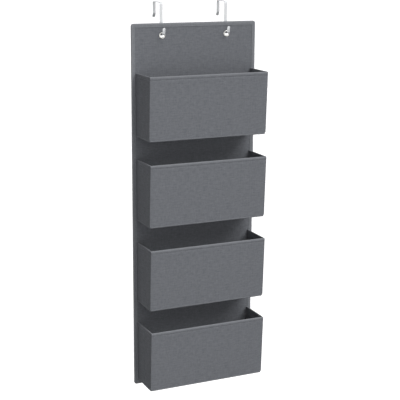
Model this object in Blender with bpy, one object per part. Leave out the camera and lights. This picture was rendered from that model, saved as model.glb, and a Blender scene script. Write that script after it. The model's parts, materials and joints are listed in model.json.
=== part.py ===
"""Hanging organizer with four folding fabric baskets, on two hooks that go over a door.

Frame: +Z up, -Y is the front. The origin is where the hooks sit: the front top edge of the door,
half way between the two hooks. Lengths are in metres.
Every stiff wall is a chipboard sheet that slides into a sewn fabric sleeve. Each basket has a floor
flap that lies on a soft foot cloth; with the flap swung up, the side walls fold in and the basket
goes flat against the panel.
"""

import math

import bmesh
import bpy
from mathutils import Matrix, Vector

MM = 0.001
GAP = 0.3 * MM  # air between pieces that touch

# Back panel: two fabric covers over one board, with an edge tape sewn round all four sides
PANEL_WIDTH = 356 * MM
PANEL_HEIGHT = 985 * MM
PANEL_CORNER_RADIUS = 5 * MM
PANEL_BOARD_THICKNESS = 2.4 * MM
COVER_THICKNESS = 0.5 * MM
PANEL_CORE_THICKNESS = 2 * COVER_THICKNESS + 2 * GAP + PANEL_BOARD_THICKNESS
BINDING_TAPE_THICKNESS = 0.6 * MM
BINDING_WIDTH = 10 * MM
BINDING_EDGE_RADIUS = 1.2 * MM

# Baskets, which lean out a little at the top
BASKET_COUNT = 4
BASKET_PITCH = 226.5 * MM
BASKET_WIDTH = 334 * MM
BASKET_HEIGHT = 167 * MM
BASKET_DEPTH_AT_FLOOR = 92.5 * MM
BASKET_DEPTH_AT_MOUTH = 100 * MM
LOWEST_BASKET_ABOVE_PANEL_FOOT = 12.5 * MM

# A wall or floor is a board in a sleeve
WALL_BOARD_THICKNESS = 1.6 * MM
WALL_THICKNESS = WALL_BOARD_THICKNESS + 2 * COVER_THICKNESS + 2 * GAP
SLEEVE_EDGE_RADIUS = 0.8 * MM
BOARD_SHORT_OF_MOUTH = 0.6 * MM
FOOT_CLOTH_THICKNESS = 0.8 * MM
FOOT_CLOTH_EDGE_RADIUS = 3 * MM
WALLS_ABOVE_FLOOR_GAP = 0.4 * MM
FLOOR_SIDE_CLEARANCE = 0.6 * MM
FLAP_BEHIND = 0.5 * MM
FLOOR_FRONT_CLEARANCE = 0.8 * MM

# Fabric hinges of the side walls. The floor flap stands behind the folded walls, so the rear
# hinge line stands off the panel by the flap's thickness.
REAR_HINGE_OFF_PANEL = 4.0 * MM
CREASE_OUTSIDE_WALL = 0.3 * MM
CREASE_HALF_GAP = 0.2 * MM
FRONT_HINGE_GAP = 0.4 * MM

# Eyelets
EYELET_SPACING = 185 * MM
EYELET_BELOW_PANEL_TOP = 32 * MM
EYELET_HOLE_RADIUS = 5.0 * MM
EYELET_METAL = 0.5 * MM
EYELET_FLANGE_RADIUS = 8.4 * MM
EYELET_DOME_HEIGHT = 1.1 * MM
EYELET_CURL_RADIUS = 7.2 * MM
ROUND_STEPS = 32

# Over-door hooks, bent from steel strip
STRIP_WIDTH = 8 * MM
STRIP_THICKNESS = 1.8 * MM
DOOR_THICKNESS = 45 * MM
BRIDGE_TOP_ABOVE_PANEL = 53 * MM
BACK_LEG_END_ABOVE_PANEL = 12 * MM
BACK_LEG_FLARE = 4.5 * MM
BACK_LEG_FLARE_HEIGHT = 10 * MM
FRONT_BEND_RADIUS = 4 * MM  # bend radii are at the middle of the strip
BACK_BEND_RADIUS = 2.2 * MM
FLARE_BEND_RADIUS = 4 * MM
LOWER_BEND_RADIUS = 2.1 * MM
TIP_BEND_RADIUS = 3.5 * MM
TIP_BASE_AHEAD_OF_PANEL = 10.4 * MM
TIP_END_AHEAD_OF_PANEL = 13.6 * MM
TIP_END_ABOVE_EYELET = 20 * MM
STRIP_TOP_ABOVE_EYELET_CENTRE = 2.4 * MM
STRIP_END_RADIUS = 3 * MM
STRIP_EDGE_RADIUS = 0.3 * MM
BEND_STEPS = 6

# Heights and depths that follow from the sizes above
PANEL_TOP = STRIP_THICKNESS - BRIDGE_TOP_ABOVE_PANEL
PANEL_FOOT = PANEL_TOP - PANEL_HEIGHT
EYELET_HEIGHT = PANEL_TOP - EYELET_BELOW_PANEL_TOP
EYELET_REAR_REACH = GAP + 2 * EYELET_METAL
HOOK_TO_EYELET_GAP = 0.4 * MM
PANEL_REAR = -(STRIP_THICKNESS + HOOK_TO_EYELET_GAP + EYELET_REAR_REACH)
PANEL_FACE = PANEL_REAR - PANEL_CORE_THICKNESS
HALF_WIDTH = BASKET_WIDTH / 2
INNER_HALF_WIDTH = HALF_WIDTH - WALL_THICKNESS
LEAN = math.atan2(BASKET_DEPTH_AT_MOUTH - BASKET_DEPTH_AT_FLOOR, BASKET_HEIGHT)
FLAP_FOOT = FOOT_CLOTH_THICKNESS + GAP
FLAP_TOP = FLAP_FOOT + WALL_THICKNESS
WALL_FOOT = FLAP_TOP + WALLS_ABOVE_FLOOR_GAP


def remove_everything():
    for old in list(bpy.data.objects):
        bpy.data.objects.remove(old)


def linear(hex_colour):
    """An sRGB colour such as "6c7075" as the linear values that a shader takes."""
    channels = [int(hex_colour[i : i + 2], 16) / 255 for i in (0, 2, 4)]
    return [c / 12.92 if c <= 0.04045 else ((c + 0.055) / 1.055) ** 2.4 for c in channels]


def make_material(name, hex_colour, roughness, metallic=0.0):
    made = bpy.data.materials.new(name)
    made.use_nodes = True
    shader = made.node_tree.nodes["Principled BSDF"]
    shader.inputs["Base Color"].default_value = (*linear(hex_colour), 1)
    shader.inputs["Roughness"].default_value = roughness
    shader.inputs["Metallic"].default_value = metallic
    made.diffuse_color = (*linear(hex_colour), 1)
    return made


def make_pivot(name, place, parent=None):
    """An empty on a joint's axis, which carries the pieces that turn there."""
    pivot = bpy.data.objects.new(name, None)
    pivot.empty_display_size = 0.01
    bpy.context.scene.collection.objects.link(pivot)
    pivot.parent = parent
    pivot.location = Vector(place) - (world_place(parent) if parent else Vector())
    return pivot


def world_place(pivot):
    place = Vector(pivot.location)
    while pivot.parent:
        pivot = pivot.parent
        place += pivot.location
    return place


def add_piece(name, shape, material, pivot):
    """Turns a bmesh in world coordinates into an object whose origin is its pivot."""
    shape.normal_update()
    bmesh.ops.recalc_face_normals(shape, faces=shape.faces)
    bmesh.ops.translate(shape, verts=shape.verts, vec=-world_place(pivot))
    mesh = bpy.data.meshes.new(name)
    shape.to_mesh(mesh)
    shape.free()
    mesh.materials.append(material)
    mesh.shade_smooth()
    mesh.set_sharp_from_angle(angle=math.radians(35))
    piece = bpy.data.objects.new(name, mesh)
    bpy.context.scene.collection.objects.link(piece)
    piece.parent = pivot
    return piece


def along(edge, direction):
    return abs((edge.verts[0].co - edge.verts[1].co).normalized().dot(direction)) > 0.999


def prism(outline, thickness, corner_radius=0.0, corner_steps=4):
    """A flat sheet: the outline in local X and Y, its thickness up local Z."""
    shape = bmesh.new()
    face = shape.faces.new([shape.verts.new((u, v, 0)) for u, v in outline])
    grown = bmesh.ops.extrude_face_region(shape, geom=[face])["geom"]
    raised = [g for g in grown if isinstance(g, bmesh.types.BMVert)]
    bmesh.ops.translate(shape, verts=raised, vec=(0, 0, thickness))
    if corner_radius:
        corners = [e for e in shape.edges if along(e, Vector((0, 0, 1)))]
        bmesh.ops.bevel(
            shape,
            geom=corners,
            offset=corner_radius,
            segments=corner_steps,
            profile=0.5,
            affect="EDGES",
            material=-1,
        )
    bmesh.ops.recalc_face_normals(shape, faces=shape.faces)
    return shape


def rectangle(low_u, high_u, low_v, high_v):
    return [(low_u, low_v), (high_u, low_v), (high_u, high_v), (low_u, high_v)]


def inset(outline, margins):
    """The outline drawn in by margins[i] on the side after corner i. Its corners run anticlockwise."""
    count = len(outline)
    lines = []
    for i, margin in enumerate(margins):
        start, end = Vector(outline[i]), Vector(outline[(i + 1) % count])
        run = (end - start).normalized()
        inward = Vector((-run.y, run.x))
        lines.append((start + inward * margin, run))
    corners = []
    for i in range(count):
        (p, d), (q, e) = lines[i - 1], lines[i]
        share = (q - p).cross(e) / d.cross(e)
        corners.append(tuple(p + d * share))
    return corners


def sleeve_and_board(name, outline, place, pivot, mouth_side, materials):
    """A stiff wall as it is made: a fabric sleeve, open on one side, and the board slid into it."""
    fabric, board = materials
    sleeve = prism(outline, WALL_THICKNESS)
    start, end = Vector(outline[mouth_side]), Vector(outline[(mouth_side + 1) % len(outline)])
    run = (end - start).normalized()
    outward = Vector((run.y, -run.x, 0))
    mouth = max(sleeve.faces, key=lambda face: face.normal.dot(outward))
    bmesh.ops.delete(sleeve, geom=[mouth], context="FACES")
    sleeve.transform(place)
    cover = add_piece(name + "_cover", sleeve, fabric, pivot)
    soften(cover, SLEEVE_EDGE_RADIUS, 2)
    thicken(cover, COVER_THICKNESS)

    margins = [COVER_THICKNESS + GAP] * len(outline)
    margins[mouth_side] = BOARD_SHORT_OF_MOUTH
    stiffener = prism(inset(outline, margins), WALL_BOARD_THICKNESS)
    stiffener.transform(place @ Matrix.Translation((0, 0, COVER_THICKNESS + GAP)))
    add_piece(name + "_board", stiffener, board, pivot)


def soften(piece, radius, steps):
    edge = piece.modifiers.new("soft edges", "BEVEL")
    edge.width = radius
    edge.segments = steps
    edge.limit_method = "ANGLE"
    edge.angle_limit = math.radians(40)


def thicken(piece, thickness):
    """Gives an open shell its cloth thickness, inwards from the outer face."""
    cloth = piece.modifiers.new("cloth thickness", "SOLIDIFY")
    cloth.thickness = thickness
    cloth.offset = -1
    cloth.use_even_offset = True


def cut(piece, cutter_name, cutter_shape, pivot):
    cutter = add_piece(cutter_name, cutter_shape, piece.data.materials[0], pivot)
    cutter.hide_render = True
    cutter.display_type = "WIRE"
    trim = piece.modifiers.new(cutter_name, "BOOLEAN")
    trim.operation = "DIFFERENCE"
    trim.solver = "EXACT"
    trim.object = cutter


# Places that turn a sheet's local X and Y into the panel's plane, a side wall's or the floor's

FACING_FRONT = Matrix(((1, 0, 0, 0), (0, 0, -1, 0), (0, 1, 0, 0), (0, 0, 0, 1)))


def panel_sheet(width, height, rear, thickness, radius):
    """A sheet parallel to the panel and centred on it, from its rear face forward."""
    middle = PANEL_TOP - PANEL_HEIGHT / 2
    outline = rectangle(-width / 2, width / 2, middle - height / 2, middle + height / 2)
    sheet = prism(outline, thickness, radius, corner_steps=6)
    sheet.transform(Matrix.Translation((0, rear, 0)) @ FACING_FRONT)
    return sheet


def eyelet_hole(side, radius):
    """A cutter for the hole that the eyelet's barrel goes through."""
    hole = bmesh.new()
    bmesh.ops.create_cone(
        hole,
        cap_ends=True,
        segments=ROUND_STEPS,
        radius1=radius,
        radius2=radius,
        depth=4 * PANEL_CORE_THICKNESS,
    )
    centre = Vector((side * EYELET_SPACING / 2, (PANEL_REAR + PANEL_FACE) / 2, EYELET_HEIGHT))
    hole.transform(Matrix.Translation(centre) @ Matrix.Rotation(math.pi / 2, 4, "X"))
    return hole


def make_panel(pivot, fabric, binding_fabric, board):
    core_width = PANEL_WIDTH - 2 * (BINDING_TAPE_THICKNESS + GAP)
    core_height = PANEL_HEIGHT - 2 * (BINDING_TAPE_THICKNESS + GAP)
    core_radius = PANEL_CORNER_RADIUS - BINDING_TAPE_THICKNESS - GAP
    hole_radius = EYELET_HOLE_RADIUS + EYELET_METAL + GAP
    board_rear = PANEL_REAR - COVER_THICKNESS - GAP
    layers = [
        ("panel_back_cover", PANEL_REAR, COVER_THICKNESS, 0.0, fabric),
        ("panel_board", board_rear, PANEL_BOARD_THICKNESS, COVER_THICKNESS, board),
        ("panel_front_cover", PANEL_FACE + COVER_THICKNESS, COVER_THICKNESS, 0.0, fabric),
    ]
    for name, rear, thickness, margin, material in layers:
        shape = panel_sheet(
            core_width - 2 * margin,
            core_height - 2 * margin,
            rear,
            thickness,
            core_radius - margin,
        )
        sheet = add_piece(name, shape, material, pivot)
        for side, side_name in ((-1, "left"), (1, "right")):
            cut(sheet, f"{name}_{side_name}_hole", eyelet_hole(side, hole_radius), pivot)
    make_binding(pivot, binding_fabric, core_width, core_height, core_radius)


def make_binding(pivot, fabric, core_width, core_height, core_radius):
    """The edge tape: folded round the panel's rim, so its section is a U that opens inwards."""
    tape_rear = PANEL_REAR + GAP + BINDING_TAPE_THICKNESS
    tape_depth = PANEL_CORE_THICKNESS + 2 * (GAP + BINDING_TAPE_THICKNESS)
    rim = panel_sheet(PANEL_WIDTH, PANEL_HEIGHT, tape_rear, tape_depth, PANEL_CORNER_RADIUS)
    binding = add_piece("panel_edge_binding", rim, fabric, pivot)
    soften(binding, BINDING_EDGE_RADIUS, 3)
    slot = panel_sheet(
        core_width + 2 * GAP,
        core_height + 2 * GAP,
        PANEL_REAR + GAP,
        PANEL_CORE_THICKNESS + 2 * GAP,
        core_radius + GAP,
    )
    cut(binding, "binding_slot", slot, pivot)
    window = panel_sheet(
        PANEL_WIDTH - 2 * BINDING_WIDTH,
        PANEL_HEIGHT - 2 * BINDING_WIDTH,
        PANEL_REAR + PANEL_CORE_THICKNESS,
        3 * PANEL_CORE_THICKNESS,
        PANEL_CORNER_RADIUS,
    )
    cut(binding, "binding_window", window, pivot)


def ring(profile, centre):
    """Turns a closed profile of (radius, distance forward of the panel's face) round the eyelet's axis."""
    shape = bmesh.new()
    corners = [shape.verts.new((r, -forward, 0)) for r, forward in profile]
    edges = [shape.edges.new((corners[i - 1], corners[i])) for i in range(len(corners))]
    bmesh.ops.spin(
        shape,
        geom=corners + edges,
        cent=(0, 0, 0),
        axis=(0, 1, 0),
        angle=2 * math.pi,
        steps=ROUND_STEPS,
        use_merge=True,
    )
    bmesh.ops.remove_doubles(shape, verts=shape.verts, dist=0.001 * MM)
    shape.transform(Matrix.Translation(centre))
    return shape


def make_eyelet(side_name, side, pivot, metal):
    """A set eyelet: the domed face, the barrel, and its end rolled over on the washer behind the panel."""
    centre = Vector((side * EYELET_SPACING / 2, PANEL_FACE, EYELET_HEIGHT))
    inner, outer = EYELET_HOLE_RADIUS, EYELET_HOLE_RADIUS + EYELET_METAL
    middle = (inner + EYELET_FLANGE_RADIUS) / 2
    washer_front = -PANEL_CORE_THICKNESS - GAP
    washer_rear = washer_front - EYELET_METAL
    curl_rear = washer_rear - EYELET_METAL
    profile = [
        (inner, curl_rear + 0.5 * EYELET_METAL),
        (inner, GAP + 0.5 * EYELET_DOME_HEIGHT),
        (inner + 0.7 * EYELET_METAL, GAP + 0.85 * EYELET_DOME_HEIGHT),
        (middle, GAP + EYELET_DOME_HEIGHT),
        (EYELET_FLANGE_RADIUS - EYELET_METAL, GAP + 0.6 * EYELET_DOME_HEIGHT),
        (EYELET_FLANGE_RADIUS, GAP),
        (outer, GAP),
        (outer, washer_front),
        (EYELET_FLANGE_RADIUS, washer_front),
        (EYELET_FLANGE_RADIUS, washer_rear),
        (EYELET_CURL_RADIUS, washer_rear),
        (EYELET_CURL_RADIUS - 0.8 * EYELET_METAL, curl_rear),
        (inner + 0.6 * EYELET_METAL, curl_rear),
    ]
    add_piece(f"eyelet_{side_name}", ring(profile, centre), metal, pivot)


def rounded_path(corners):
    """Points of an open path of (y, z, bend radius): straight runs joined by arcs."""
    points = [Vector(corners[0][:2])]
    for before, here, after in zip(corners, corners[1:], corners[2:]):
        corner, radius = Vector(here[:2]), here[2]
        back = (Vector(before[:2]) - corner).normalized()
        ahead = (Vector(after[:2]) - corner).normalized()
        half_angle = back.angle(ahead) / 2
        centre = corner + (back + ahead).normalized() * (radius / math.sin(half_angle))
        start = corner + back * (radius / math.tan(half_angle)) - centre
        turn = (math.pi - 2 * half_angle) * (1 if back.cross(ahead) < 0 else -1)
        for step in range(BEND_STEPS + 1):
            arc = Matrix.Rotation(turn * step / BEND_STEPS, 2)
            points.append(centre + arc @ start)
    points.append(Vector(corners[-1][:2]))
    return points


def strip_outline(path):
    """Both edges of a strip of the hook's thickness that follows the path."""
    left, right = [], []
    for i, point in enumerate(path):
        before, after = path[max(i - 1, 0)], path[min(i + 1, len(path) - 1)]
        run = (after - before).normalized()
        across = Vector((-run.y, run.x)) * (STRIP_THICKNESS / 2)
        left.append(point + across)
        right.append(point - across)
    return left + right[::-1]


def make_hook(side_name, side, pivot, steel):
    """Over-door hook: down the door's back with a flared end, over its top, down behind the panel,
    then forward through the eyelet and up in front as the tip that carries the panel."""
    half = STRIP_THICKNESS / 2
    back_leg = DOOR_THICKNESS + half
    back_leg_end = PANEL_TOP + BACK_LEG_END_ABOVE_PANEL
    seat = EYELET_HEIGHT + STRIP_TOP_ABOVE_EYELET_CENTRE - half
    path = rounded_path(
        [
            (back_leg + BACK_LEG_FLARE, back_leg_end, 0),
            (back_leg, back_leg_end + BACK_LEG_FLARE_HEIGHT, FLARE_BEND_RADIUS),
            (back_leg, half, BACK_BEND_RADIUS),
            (-half, half, FRONT_BEND_RADIUS),
            (-half, seat, LOWER_BEND_RADIUS),
            (PANEL_FACE - TIP_BASE_AHEAD_OF_PANEL, seat, TIP_BEND_RADIUS),
            (PANEL_FACE - TIP_END_AHEAD_OF_PANEL, EYELET_HEIGHT + TIP_END_ABOVE_EYELET, 0),
        ]
    )
    shape = prism([tuple(p) for p in strip_outline(path)], STRIP_WIDTH)
    ends = [
        e
        for e in shape.edges
        if abs(e.calc_length() - STRIP_THICKNESS) < 0.02 * MM
        and min((e.verts[0].co.xy - path[i]).length for i in (0, -1)) < STRIP_THICKNESS
    ]
    bmesh.ops.bevel(
        shape,
        geom=ends,
        offset=STRIP_END_RADIUS,
        segments=5,
        profile=0.5,
        affect="EDGES",
        material=-1,
    )
    # local X is the panel's Y, local Y is height, and the strip's width runs across the panel
    stand = Matrix(((0, 0, 1, 0), (1, 0, 0, 0), (0, 1, 0, 0), (0, 0, 0, 1)))
    middle = side * EYELET_SPACING / 2 - STRIP_WIDTH / 2
    shape.transform(Matrix.Translation((middle, 0, 0)) @ stand)
    hook = add_piece(f"door_hook_{side_name}", shape, steel, pivot)
    soften(hook, STRIP_EDGE_RADIUS, 1)


def wall_depth(height):
    """How far the front wall's inner face stands off the panel, at a height above the basket's foot."""
    outer = BASKET_DEPTH_AT_FLOOR + height * math.tan(LEAN)
    return outer - WALL_THICKNESS / math.cos(LEAN)


def front_hinge_depth(height):
    return wall_depth(height) - FRONT_HINGE_GAP


def crease_depth(height):
    """The crease runs half way between the rear and the front hinge, so the side folds flat on itself."""
    return (REAR_HINGE_OFF_PANEL + front_hinge_depth(height)) / 2


def side_place(side, foot):
    """Turns a side sheet's local X into distance off the panel, and its thickness towards the inside."""
    return Matrix(
        (
            (0, 0, -side, side * HALF_WIDTH),
            (-1, 0, 0, PANEL_FACE),
            (0, 1, 0, foot),
            (0, 0, 0, 1),
        )
    )


def make_side(basket, side_name, side, foot, panel_pivot, materials):
    """One side wall: a rear and a front half, hinged to the panel and to each other by the fabric."""
    rear_axis = (side * INNER_HALF_WIDTH, PANEL_FACE - REAR_HINGE_OFF_PANEL, foot)
    rear = make_pivot(f"{basket}_{side_name}_rear_pivot", rear_axis, panel_pivot)
    crease_axis = (side * (HALF_WIDTH + CREASE_OUTSIDE_WALL), PANEL_FACE - crease_depth(0), foot)
    crease = make_pivot(f"{basket}_{side_name}_crease_pivot", crease_axis, rear)
    low, high = WALL_FOOT, BASKET_HEIGHT
    rear_half = [
        (GAP, low),
        (crease_depth(low) - CREASE_HALF_GAP, low),
        (crease_depth(high) - CREASE_HALF_GAP, high),
        (GAP, high),
    ]
    front_half = [
        (crease_depth(low) + CREASE_HALF_GAP, low),
        (front_hinge_depth(low), low),
        (front_hinge_depth(high), high),
        (crease_depth(high) + CREASE_HALF_GAP, high),
    ]
    place = side_place(side, foot)
    foot_side = 0
    for half_name, outline, pivot in (("rear", rear_half, rear), ("front", front_half, crease)):
        name = f"{basket}_{side_name}_{half_name}"
        sleeve_and_board(name, outline, place, pivot, foot_side, materials)
    return crease


def make_front(basket, foot, crease_pivot, materials):
    """The front wall, hinged at its left edge to the left side's front half.
    Its right edge meets the right side."""
    axis = (-INNER_HALF_WIDTH, PANEL_FACE - front_hinge_depth(0), foot)
    pivot = make_pivot(f"{basket}_front_pivot", axis, crease_pivot)
    slope = math.cos(LEAN)
    outline = rectangle(-HALF_WIDTH, HALF_WIDTH, WALL_FOOT / slope, BASKET_HEIGHT / slope)
    lean_out = Matrix.Rotation(LEAN, 4, "X")
    outer_foot = Matrix.Translation((0, PANEL_FACE - BASKET_DEPTH_AT_FLOOR, foot))
    outer_to_inner = Matrix.Translation((0, WALL_THICKNESS, 0))
    place = outer_foot @ lean_out @ outer_to_inner @ FACING_FRONT
    foot_side = 0
    sleeve_and_board(f"{basket}_front", outline, place, pivot, foot_side, materials)


def make_floor(basket, foot, panel_pivot, materials):
    """The floor flap, hinged along its rear edge: flat in use, swung up against the panel to fold."""
    axis = (0, PANEL_FACE - GAP, foot + FLAP_TOP)
    pivot = make_pivot(f"{basket}_floor_pivot", axis, panel_pivot)
    half = INNER_HALF_WIDTH - FLOOR_SIDE_CLEARANCE
    outline = rectangle(-half, half, FLAP_BEHIND, wall_depth(0) - FLOOR_FRONT_CLEARANCE)
    base = foot + FLAP_FOOT
    lie_flat = Matrix(((1, 0, 0, 0), (0, -1, 0, PANEL_FACE), (0, 0, 1, base), (0, 0, 0, 1)))
    rear_side = 0
    sleeve_and_board(f"{basket}_floor", outline, lie_flat, pivot, rear_side, materials)


def make_foot_cloth(basket, foot, panel_pivot, fabric):
    """The soft cloth under the flap, which creases up as the basket folds.
    Its rim is sewn to the walls' lower edges and its rear edge to the panel."""
    outline = rectangle(-HALF_WIDTH, HALF_WIDTH, GAP, BASKET_DEPTH_AT_FLOOR)
    tray = prism(outline, FLAP_TOP)
    open_sides = [f for f in tray.faces if f.normal.z > 0.9 or f.normal.y < -0.9]
    bmesh.ops.delete(tray, geom=open_sides, context="FACES")
    tray.transform(Matrix(((1, 0, 0, 0), (0, -1, 0, PANEL_FACE), (0, 0, 1, foot), (0, 0, 0, 1))))
    cloth = add_piece(f"{basket}_foot_cloth", tray, fabric, panel_pivot)
    soften(cloth, FOOT_CLOTH_EDGE_RADIUS, 4)
    thicken(cloth, FOOT_CLOTH_THICKNESS)


def make_basket(number, panel_pivot, materials):
    basket = f"basket_{number}"
    foot = PANEL_FOOT + LOWEST_BASKET_ABOVE_PANEL_FOOT + (BASKET_COUNT - number) * BASKET_PITCH
    make_foot_cloth(basket, foot, panel_pivot, materials[0])
    make_floor(basket, foot, panel_pivot, materials)
    left_crease = make_side(basket, "left", -1, foot, panel_pivot, materials)
    make_side(basket, "right", 1, foot, panel_pivot, materials)
    make_front(basket, foot, left_crease, materials)


def main():
    remove_everything()
    fabric = make_material("grey non-woven fabric", "6c7075", 0.9)
    tape = make_material("grey edge tape", "686b71", 0.85)
    board = make_material("chipboard", "a38f72", 0.95)
    steel = make_material("zinc-plated steel", "d4d4d6", 0.35, 1.0)
    nickel = make_material("nickel-plated brass", "dcdcdc", 0.2, 1.0)

    door = make_pivot("door_top_edge", (0, 0, 0))
    binding_rear = PANEL_REAR + GAP + BINDING_TAPE_THICKNESS
    panel = make_pivot("panel_swing_pivot", (0, binding_rear, PANEL_TOP), door)
    make_panel(panel, fabric, tape, board)
    for side_name, side in (("left", -1), ("right", 1)):
        make_hook(side_name, side, door, steel)
        make_eyelet(side_name, side, panel, nickel)
    for number in range(1, BASKET_COUNT + 1):
        make_basket(number, panel, (fabric, board))


main()
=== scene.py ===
"""Looks of the hanging organizer: sewn sleeves over the boards, edge tape, thread, eyelets and hooks.

Lengths are in metres, +Z up, -Y is the front. Cloth pieces are modelled flat, in the frame of the wall
that they cover: local X along the wall, local Y up it and local Z outwards, and are then put in place.
"""

import json
import math

import bmesh
import bpy
from mathutils import Matrix, Vector, noise


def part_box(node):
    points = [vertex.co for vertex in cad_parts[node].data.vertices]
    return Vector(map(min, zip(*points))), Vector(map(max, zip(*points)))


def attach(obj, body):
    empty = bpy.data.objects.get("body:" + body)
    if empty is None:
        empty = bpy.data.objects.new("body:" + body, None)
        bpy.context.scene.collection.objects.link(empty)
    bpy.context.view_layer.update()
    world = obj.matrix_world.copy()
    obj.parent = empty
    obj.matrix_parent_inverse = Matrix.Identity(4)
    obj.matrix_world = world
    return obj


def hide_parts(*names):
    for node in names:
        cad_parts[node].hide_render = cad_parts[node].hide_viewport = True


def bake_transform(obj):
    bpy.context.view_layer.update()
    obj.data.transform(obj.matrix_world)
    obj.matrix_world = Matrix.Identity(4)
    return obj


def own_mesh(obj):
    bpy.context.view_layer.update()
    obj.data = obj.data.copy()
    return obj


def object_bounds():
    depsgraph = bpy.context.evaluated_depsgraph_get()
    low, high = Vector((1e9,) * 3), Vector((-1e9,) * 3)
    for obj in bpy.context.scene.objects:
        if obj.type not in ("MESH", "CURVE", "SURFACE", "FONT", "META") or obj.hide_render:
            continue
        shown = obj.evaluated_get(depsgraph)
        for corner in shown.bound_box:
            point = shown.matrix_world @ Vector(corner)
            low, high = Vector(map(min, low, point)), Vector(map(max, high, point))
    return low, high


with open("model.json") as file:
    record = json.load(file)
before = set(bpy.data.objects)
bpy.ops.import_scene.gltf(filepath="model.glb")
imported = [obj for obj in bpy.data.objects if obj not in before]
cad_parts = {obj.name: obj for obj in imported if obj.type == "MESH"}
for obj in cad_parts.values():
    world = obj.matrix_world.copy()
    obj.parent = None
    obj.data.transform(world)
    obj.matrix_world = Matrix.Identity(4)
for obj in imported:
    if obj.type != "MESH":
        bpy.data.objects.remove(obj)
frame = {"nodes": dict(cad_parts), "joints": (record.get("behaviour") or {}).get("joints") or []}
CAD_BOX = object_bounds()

MM = 0.001
MERGE = 0.001 * MM  # points nearer than this are one point
ALIKE = 0.95  # a face looks a given way if its unit normal reaches this far along it
GAP = 0.3 * MM  # left between pieces that touch on the real one

# Cloth, and how finely its mesh is cut
CLOTH = 0.5 * MM
FOOT_CLOTH = 0.8 * MM
CELL = 4 * MM
PANEL_CELL = 12 * MM
FLOOR_CELL = 6 * MM
HIGHLIGHT_REACH = 4.5 * MM  # how far the painted highlight reaches from a fold

# Seams: a row of stitches in a shallow hollow, with the cloth puckered along it
SEAM_INSET = 2 * MM
SEAM_BELOW_RIM = 9 * MM
SEAM_HALF_WIDTH = 1.6 * MM
SEAM_HOLLOW = 0.24 * MM
PUCKER = 0.08 * MM
PUCKER_REACH = 5 * MM
PUCKER_LENGTH = 9 * MM
SIDE_PUCKER = 0.4  # share of the pucker that the narrower sides show
THREAD = 0.45 * MM
STITCH_HEIGHT = 0.36 * MM
STITCH_LENGTH = 2.7 * MM
STITCH_PITCH = 3.4 * MM
STITCH_LIFT = 0.1 * MM
STITCH_SINK = 0.6 * SEAM_HOLLOW
PLY_SPACING = 0.5 * MM
ROW_INSET = 2 * MM  # a row of stitches starts and ends this far from an edge

# Panel's edge tape
TAPE = 0.6 * MM
TAPE_WIDTH = 10 * MM
TAPE_FOLD_RADIUS = 1.4 * MM
PANEL_CORNER_RADIUS = 6.5 * MM

# Basket walls
SLEEVE_EDGE_RADIUS = 1.1 * MM
FRONT_BULGE = 0.7 * MM
BULGE_VARIES = 0.4  # share of the bulge that differs from patch to patch
BULGE_PATCH = 60 * MM
EDGE_LINE_INSET = 3.2 * MM  # a faint line where the board's side edge presses into the front's cloth
EDGE_LINE_HOLLOW = 0.25 * MM
EDGE_LINE_HALF_WIDTH = 2 * MM
SIDE_PULL = 0.3 * MM  # the seam and the foot draw the front's sides in by this much
SIDE_PULL_REACH = 6 * MM
PULL_ALONG_SEAM = 2.5 * MM
PULL_ALONG_FOOT = 4 * MM
CREASE_HALF_WIDTH = 1.6 * MM
CREASE_HOLLOW = 0.45 * MM
CREASE_HOLLOW_HALF_WIDTH = 0.96 * MM
HEM_FADE = 5 * MM  # a side's hem dies away over this length at both ends

# Narrow tapes over the sides' upright seams
SEAM_TAPE = 0.25 * MM
SEAM_TAPE_CELL = 0.5 * MM
SEAM_TAPE_CELLS = 16
SEAM_TAPE_SHORTER = 1 * MM
SEAM_TAPE_OFF_WALL = 0.03 * MM
SEAM_TAPE_OFF_PANEL = 0.05 * MM
SEAM_TAPE_BEHIND_HINGE = 3 * MM
REAR_SEAM_TAPE = 6 * MM

# Floor flap and foot cloth
FLOOR_UNEVEN = 0.12 * MM
FLOOR_DRAWN_IN = 0.08 * MM
FLOOR_PATCH = 45 * MM
FOOT_CORNER_RADIUS = 5 * MM
FOOT_EDGE_RADIUS = 1.4 * MM
FOOT_OVERLAP = 0.2 * MM  # the turned-up edge laps the walls by this much
FOOT_SEAM_BELOW_EDGE = 1.2 * MM
FOOT_ROW_INSET = FOOT_CORNER_RADIUS + 1 * MM
FOOT_HIGHLIGHT_OFF = 2.5 * MM  # the turned-up edge's top gets the painted highlight that a rim gets this far from its fold
FOOT_UNEVEN = 0.25 * MM
FOOT_PATCH = 30 * MM
FOOT_BOTTOM = 0.1 * MM  # points lower than this are the flat bottom's

# A sewn hem's fullness: how far below the rim, and how far the cloth stands out there. It rolls over the
# rim, goes in at the seam and comes out again below it.
FRONT_HEM = (
    (0 * MM, -0.12 * MM),
    (1.5 * MM, 0.2 * MM),
    (4.5 * MM, 0.6 * MM),
    (6 * MM, 0.6 * MM),
    (8 * MM, 0.25 * MM),
    (9 * MM, -0.2 * MM),
    (10 * MM, -0.05 * MM),
    (13 * MM, 0.25 * MM),
    (24 * MM, 0 * MM),
)
SIDE_HEM = (
    (0 * MM, -0.12 * MM),
    (3.5 * MM, 0.2 * MM),
    (6 * MM, 0.2 * MM),
    (8 * MM, 0 * MM),
    (9 * MM, -0.24 * MM),
    (10 * MM, -0.1 * MM),
    (13 * MM, 0.08 * MM),
    (18 * MM, 0 * MM),
)
# Where a hem's mesh is cut, in millimetres below the rim: closest at the rolled rim and at the seam
HEM_CUTS = (0.8, 1.6, 2.5, 3.5, 4.5, 5.3, 6, 7, 8, 8.5, 9, 9.5, 10, 11.5, 13, 16, 20, 24)

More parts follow.
